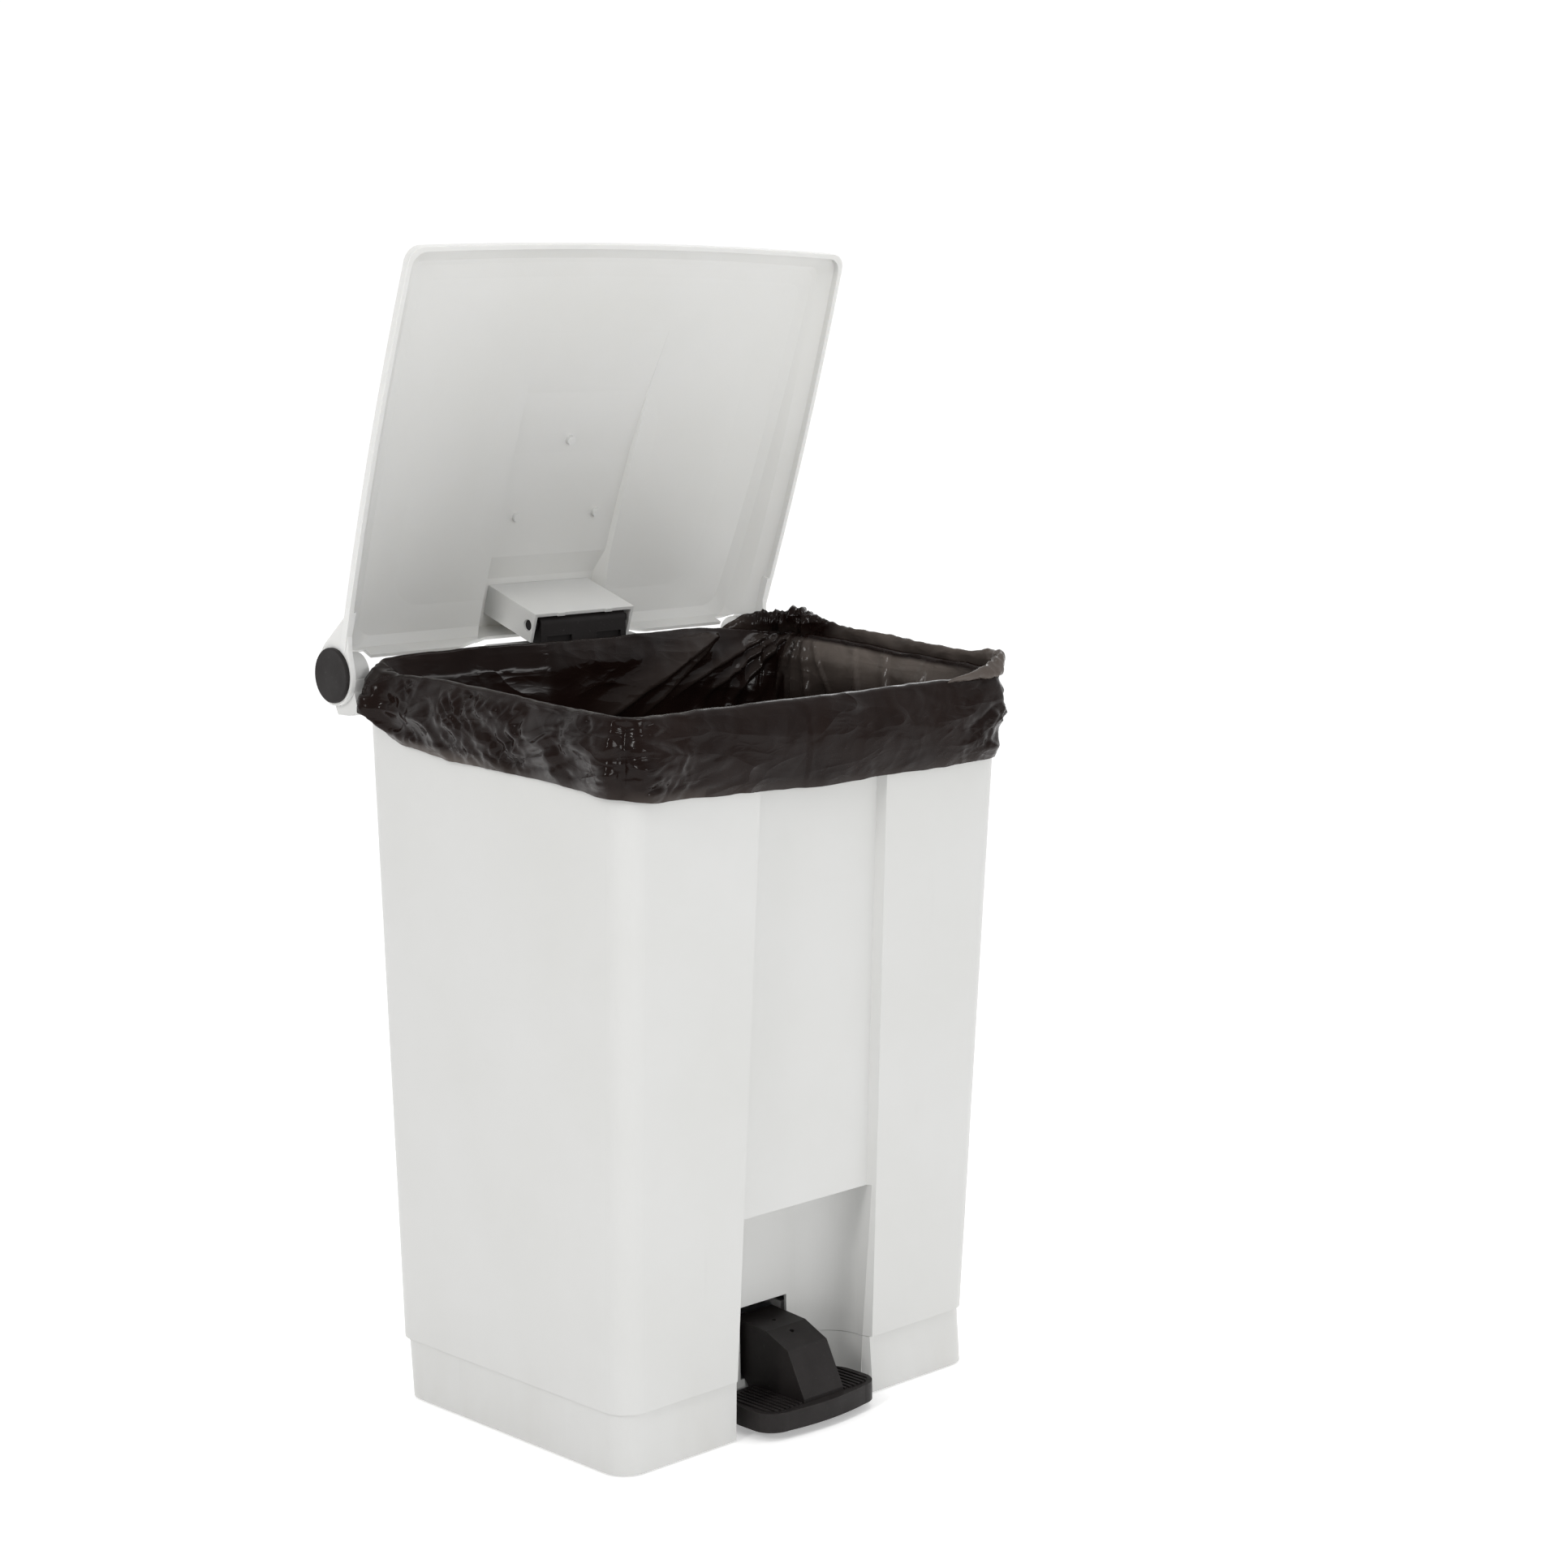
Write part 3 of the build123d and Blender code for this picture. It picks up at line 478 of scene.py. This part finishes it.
def make_bag():
    """The liner as rows of points: outside cuff from its hem up, over the fold, down inside."""
    path, normal, at, total = film_path(ROUND)
    x, y = path.T
    zero = 0 * x
    a = np.where(at > total / 2, at - total, at)        # arc from the channel, left positive
    crest = along(path, at, total, CREST) + 0.5 * drift(at, zero, 30, 11)
    crest = crest + 0.3 * drift(at, zero, 8, 12)
    hem = along(path, at, total, HEM) + 0.9 * drift(at, zero, 60, 13)
    hem = hem + 0.4 * drift(at, zero, 11, 14)
    left = (x < -180) & (y < 128)
    side = np.clip((np.abs(x) - 184) / 3, 0, 1) * np.clip((126 - y) / 10, 0, 1)
    front = np.clip((-150 - y) / 5, 0, 1)
    wall = np.clip(side + front, 0, 1)
    lively = 0.12 + 0.88 * np.clip(side * (x < 0) + np.clip((-100 - x) / 60, 0, 1) * front
                                   + np.clip((x - 130) / 40, 0, 1) * front
                                   + side * (x > 0), 0, 1)
    heap = np.exp(-((y - 118) / 9.0) ** 2) * left        # bunched film in front of the hinge
    flare = np.exp(-(np.hypot(x + 176, y + 150) / 30) ** 2)  # loose film below the near corner

    rows, kinds = [], []
    for k in range(CUFF_ROWS):                           # cuff, hem upward
        f = k / CUFF_ROWS
        z = hem + (crest - FOLD_H - hem) * f
        puff = 1.6 + 7.5 * np.sin(pi * min(f * 0.93 + 0.05, 1)) ** 0.7
        n = puff * wall + (0.8 + 1.0 * sin(pi * f)) * (1 - wall)
        low = np.clip((547 - z) / 18, 0, 1)
        n = n + heap * (11.0 + 4.5 * low) * np.clip((z - hem) / 8, 0, 1)
        n = n + 5.5 * flare * (1 - f) ** 1.3
        rows.append((n, z))
        kinds.append(0)
    for k in range(FOLD_ROWS):                           # rounded fold
        turn = pi * (k + 0.5) / FOLD_ROWS
        n = -1.6 + (3.2 + 1.2 * wall + 7.0 * heap) * np.cos(turn)
        rows.append((n, crest - FOLD_H + FOLD_H * np.sin(turn)))
        kinds.append(1)
    depths = np.concatenate([np.linspace(2, 78, 46), np.linspace(84, 381, 22)])
    for depth in depths:                                 # inside, down the tub's walls
        z = (crest - FOLD_H) - depth * (crest - FOLD_H - (BAG_FLOOR + 1)) / depths[-1]
        rows.append((-5.2 - 3.2 * np.clip(depth / 14, 0, 1) + zero, z))
        kinds.append(2)

    bunch = arc_at(path, at, 186.5, 66) - total          # where the right-hand folds gather
    fold_lines = [
        ((arc_at(path, at, 113, 104) - total, -2), (6, 54), 12.0, 9.0),
        ((arc_at(path, at, 128, 104) - total, -2),
         (arc_at(path, at, 40, CHANNEL_Y) - total, 56), 4.0, 5.0),
        ((bunch + 22, -2), (arc_at(path, at, 75, 101) - total, 44), 4.5, 6.0),
        ((bunch + 12, -2), (arc_at(path, at, 110, 104) - total, 46), 3.5, 6.0),
        ((bunch + 6, -2), (arc_at(path, at, 138, 103) - total, 46), 4.5, 7.0),
        ((bunch + 1, -2), (bunch + 24, 58), 5.0, 8.0),
        ((bunch - 4, -2), (bunch + 4, 60), 3.5, 5.0),
        ((bunch - 9, -2), (bunch - 20, 62), 4.0, 6.0),
        ((bunch - 15, -2), (bunch - 48, 54), 3.0, 3.5),
        ((bunch - 60, -2), (bunch - 78, 60), 6.0, 3.0),
        ((bunch - 96, -2), (bunch - 108, 60), 6.0, 3.5),
        ((bunch - 140, -2), (bunch - 150, 60), 5.0, 3.0),
    ]
    verts, painted_glow = [], []
    for (n, z), kind in zip(rows, kinds):
        d = crest - z
        if kind == 0:
            rough = 2.2 * lively * ridges(a, d, 62, 15, 0.22, 5)
            rough -= 1.5 * lively * ridges(a, d, 34, 11, -0.30, 6)
            patch = np.clip(0.5 + 1.3 * drift(a, d, 30, 33), 0, 1)
            rough += 1.3 * lively * patch * ridges(a, d, 15, 6, 0.75, 15)
            rough -= 0.9 * lively * patch * ridges(a, d, 9, 4.5, -0.9, 16)
            rough = rough * (1 - 0.25 * flare * np.clip((z - 512) / 10, 0, 1))
            gather = flare * (0.35 + 0.65 * np.clip((516 - z) / 14, 0, 1))
            rough += 2.6 * gather * (creases(a, d, 9, 18, (2.0, 0.6), -0.35) - 0.3)
            rough += 1.2 * gather * (creases(a, d, 4.5, 19, (1.6, 0.7), 0.4) - 0.3)
            rough += 0.9 * drift(a, d, 45, 7)
            rough = rough * (0.15 + 0.85 * wall) * np.clip((z - hem) / 9, 0.35, 1)
            rough += heap * 5.0 * (creases(a, d, 7, 17, (0.6, 1.8)) - 0.3)
            n = np.maximum(n + rough, 1.1)
        elif kind == 1:
            n = n + 0.8 * lively * ridges(a, d, 34, 11, -0.30, 6)
        else:
            soft = np.clip(d / 20, 0, 1)
            rear = np.clip((y - 90) / 8, 0, 1)
            calm = 1 - 0.93 * np.clip((a + 90) / 60, 0, 1) * np.clip((230 - a) / 30, 0, 1)
            rough = -2.6 * soft * calm * (1 + ridges(a, d, 26, 70, 0.12, 8)) / 2
            rough += -1.8 * soft * calm * (1 - ridges(a, d, 11, 34, -0.25, 9)) / 2
            rough += -1.8 * soft * (1 + drift(a, d, 70, 10))
            crossing = zero
            for start, end, width, height in fold_lines:
                rise = pleat(a, d, start, end, width, height)
                crossing = np.maximum(crossing, rise / height)
                rough = rough - rise
            n = n + np.minimum(rough, 1.5) - 1.5 * rear * np.clip((d - 20) / 20, 0, 1)
        share = np.clip((TAPER_TOP - z) / TAPER_DROP, 0, 1)
        px = x * (1 - share * SIDE_TAPER / RIM_HALF)
        py = REAR_Y - (REAR_Y - y) * (1 - share * DEPTH_TAPER / RIM_DEPTH)
        if kind == 2:                                    # the tub's recessed front panel
            inset = 8.5 * np.clip((80 - np.abs(px)) / 8, 0, 1) * np.clip((524 - z) / 8, 0, 1)
            py = py + inset * front
        px, py = px + normal[:, 0] * n, py + normal[:, 1] * n
        verts.append(np.stack([px, py, z], 1))
        # painted light: the film is painted lighter on the right-hand inner wall near the rim,
        # faintly along the inner pleats, and in a strip along the cuff's hem, more on the left side
        # and near the front left corner
        if kind == 2:
            glow = np.clip((px - 150) / 30, 0, 1) * np.clip((60 - d) / 30, 0, 1) * (y < 75)
            painted_glow.append(np.maximum(glow * (0.55 + 0.45 * drift(a, d, 40, 31)), 0.12 * crossing))
        elif kind == 0:
            edge = np.clip(1 - (z - hem) / (7 + 3 * drift(a, zero, 50, 32)), 0, 1)
            painted_glow.append(edge * (0.06 + 0.34 * left * np.exp(-((y - 45) / 55) ** 2)
                                + 0.10 * front * (x < -120)))
        else:
            painted_glow.append(zero)
    last = verts[-1]
    middle = np.array([0, 0, BAG_FLOOR])
    for k in range(1, FLOOR_ROWS):                       # floor of the bag, towards its middle
        ring = last + (middle - last) * k / FLOOR_ROWS
        ring[:, 2] = ((BAG_FLOOR - 1) + 1.5 * drift(ring[:, 0], ring[:, 1], 40, 21)
                      + 4 * (1 - k / FLOOR_ROWS) ** 6)
        verts.append(ring)
        painted_glow.append(zero)
    return np.array(verts), np.array(painted_glow)


def clear_of_hardware(points):
    """Keeps the film out of the hinge barrels and their brackets."""
    x, y, z = points[..., 0], points[..., 1], points[..., 2]
    near = (np.abs(x) > 184) & (y > 126.8) & (z > 514) & (z < 575)
    points[..., 0] = np.where(near, np.sign(x) * np.minimum(np.abs(x), 186.6), x)
    widest = np.interp(z, [541.0, 543.0, 549.5, 556.0, 559.0, 564.0, 568.0],
                       [211.5, 203.0, 202.5, 195.6, 192.8, 189.0, 186.0])
    points[..., 0] = np.clip(points[..., 0], -widest, widest)
    return points


def film_mesh(name, grid, painted_glow, cap=None):
    """Rows of points, each a closed ring, as one skin; cap is a point that closes the last."""
    rows, count = grid.shape[:2]
    faces = []
    for r in range(rows - 1):
        for c in range(count):
            d = (c + 1) % count
            faces.append((r * count + c, r * count + d, (r + 1) * count + d, (r + 1) * count + c))
    points = [tuple(p) for p in (grid.reshape(-1, 3) + TUB) * MM]
    shade = list(painted_glow.reshape(-1))
    if cap is not None:
        points.append(tuple((np.array(cap) + TUB) * MM))
        shade.append(0.0)
        for c in range(count):
            edge = (rows - 1) * count
            faces.append((edge + c, edge + (c + 1) % count, rows * count))
    mesh = bpy.data.meshes.new(name)
    mesh.from_pydata(points, [], faces)
    mesh.polygons.foreach_set("use_smooth", [True] * len(mesh.polygons))
    # painted light: the per-point values that lift the film's colour
    glow_attribute = mesh.attributes.new("painted_glow", "FLOAT", "POINT")
    glow_attribute.data.foreach_set("value", np.clip(np.array(shade, np.float32), 0, 1))
    mesh.update()
    obj = bpy.data.objects.new(name, mesh)
    bpy.context.collection.objects.link(obj)
    return obj


def make_liner(look):
    grid, painted_glow = make_bag()
    bag = film_mesh("film_liner", clear_of_hardware(grid), painted_glow, cap=(0, 0, BAG_FLOOR))
    bag.data.materials.append(look)
    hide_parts("bin_liner")
    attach(bag, "bin")
    return bag


def make_roll(look):
    """Gathered film standing along the right-hand rim, highest where the spare width is tucked."""
    spine = np.array([(132, 105.5, 563, 568), (150, 102.5, 563, 576), (166, 96, 561, 580),
                      (177, 86, 560, 581.5), (184, 74, 559, 583), (187.5, 62, 559, 582),
                      (189.2, 48, 558, 576), (190, 31, 557, 571), (190.4, -1, 556, 568.5),
                      (190.6, -37, 554, 565.5), (190.8, -80, 551, 562), (190.8, -116, 549, 559.5),
                      (190.2, -138, 547, 562.5), (186, -151, 545, 562), (174, -158, 544, 556),
                      (150, -159, 543, 550.5), (120, -159.2, 543, 547)], float)
    run = np.concatenate([[0], np.cumsum(np.hypot(*np.diff(spine[:, :2], axis=0).T))])
    steps, around_it = 230, 34
    at = np.linspace(0, run[-1], steps)
    line = np.stack([np.interp(at, run, spine[:, k]) for k in range(4)], 1)
    for _ in range(4):
        line[1:-1] = (line[:-2] + 2 * line[1:-1] + line[2:]) / 4
    ahead = np.gradient(line[:, :2], axis=0)
    out = np.stack([-ahead[:, 1], ahead[:, 0]], 1)
    out /= np.linalg.norm(out, axis=1)[:, None]
    turn = np.linspace(0, 2 * pi, around_it, endpoint=False)
    s, t = np.meshgrid(at, turn, indexing="ij")
    knot = np.exp(-((at - 62) / 34) ** 2)[:, None] + 0.5 * np.exp(-((at - 300) / 22) ** 2)[:, None]
    folds = creases(s, t * 6.0, 13, 41, (0.55, 1.6), 0.2) - 0.35
    small = creases(s, t * 6, 6, 42, (0.5, 1.6)) - 0.3
    folds = (0.14 + 0.95 * np.minimum(knot, 1)) * (folds + 0.45 * small)
    ends = (np.clip(s / 12, 0, 1) * np.clip((run[-1] - s) / 40, 0, 1)) ** 0.5
    wide = (2.3 + 5.2 * np.minimum(knot, 1)) * (1 + folds) * ends + 0.4
    low, high = line[:, 2][:, None], line[:, 3][:, None]
    high = low + (high - low) * (0.55 + 0.45 * ends)
    tall = (high - low) / 2 * (1 + 0.55 * folds)
    lean = 2.2 * drift(s, t * 0, 22, 43)
    px = line[:, 0][:, None] + out[:, 0][:, None] * (wide * np.cos(t) + lean * np.sin(t))
    py = line[:, 1][:, None] + out[:, 1][:, None] * (wide * np.cos(t) + lean * np.sin(t))
    pz = (low + high) / 2 + tall * np.sin(t) + 0.6 * drift(s, t * 0, 7, 44)
    grid = np.stack([px, py, pz], 2)
    # painted light: the roll is painted lighter from about 95 mm along it onward, towards the
    # front, with some random variation
    painted_glow = 0.05 + 0.30 * np.clip((s - 95) / 40, 0, 1) + 0.10 * drift(s, t * 6, 15, 45)
    painted_glow = np.clip(painted_glow, 0, 1)
    roll = film_mesh("film_roll", grid, painted_glow)
    roll.data.materials.append(look)
    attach(roll, "bin")
    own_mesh(roll)
    return roll


make_camera()
make_studio()
looks = dress_cad_nodes()
bag = make_liner(looks["black_film"])
roll = make_roll(looks["black_film"])
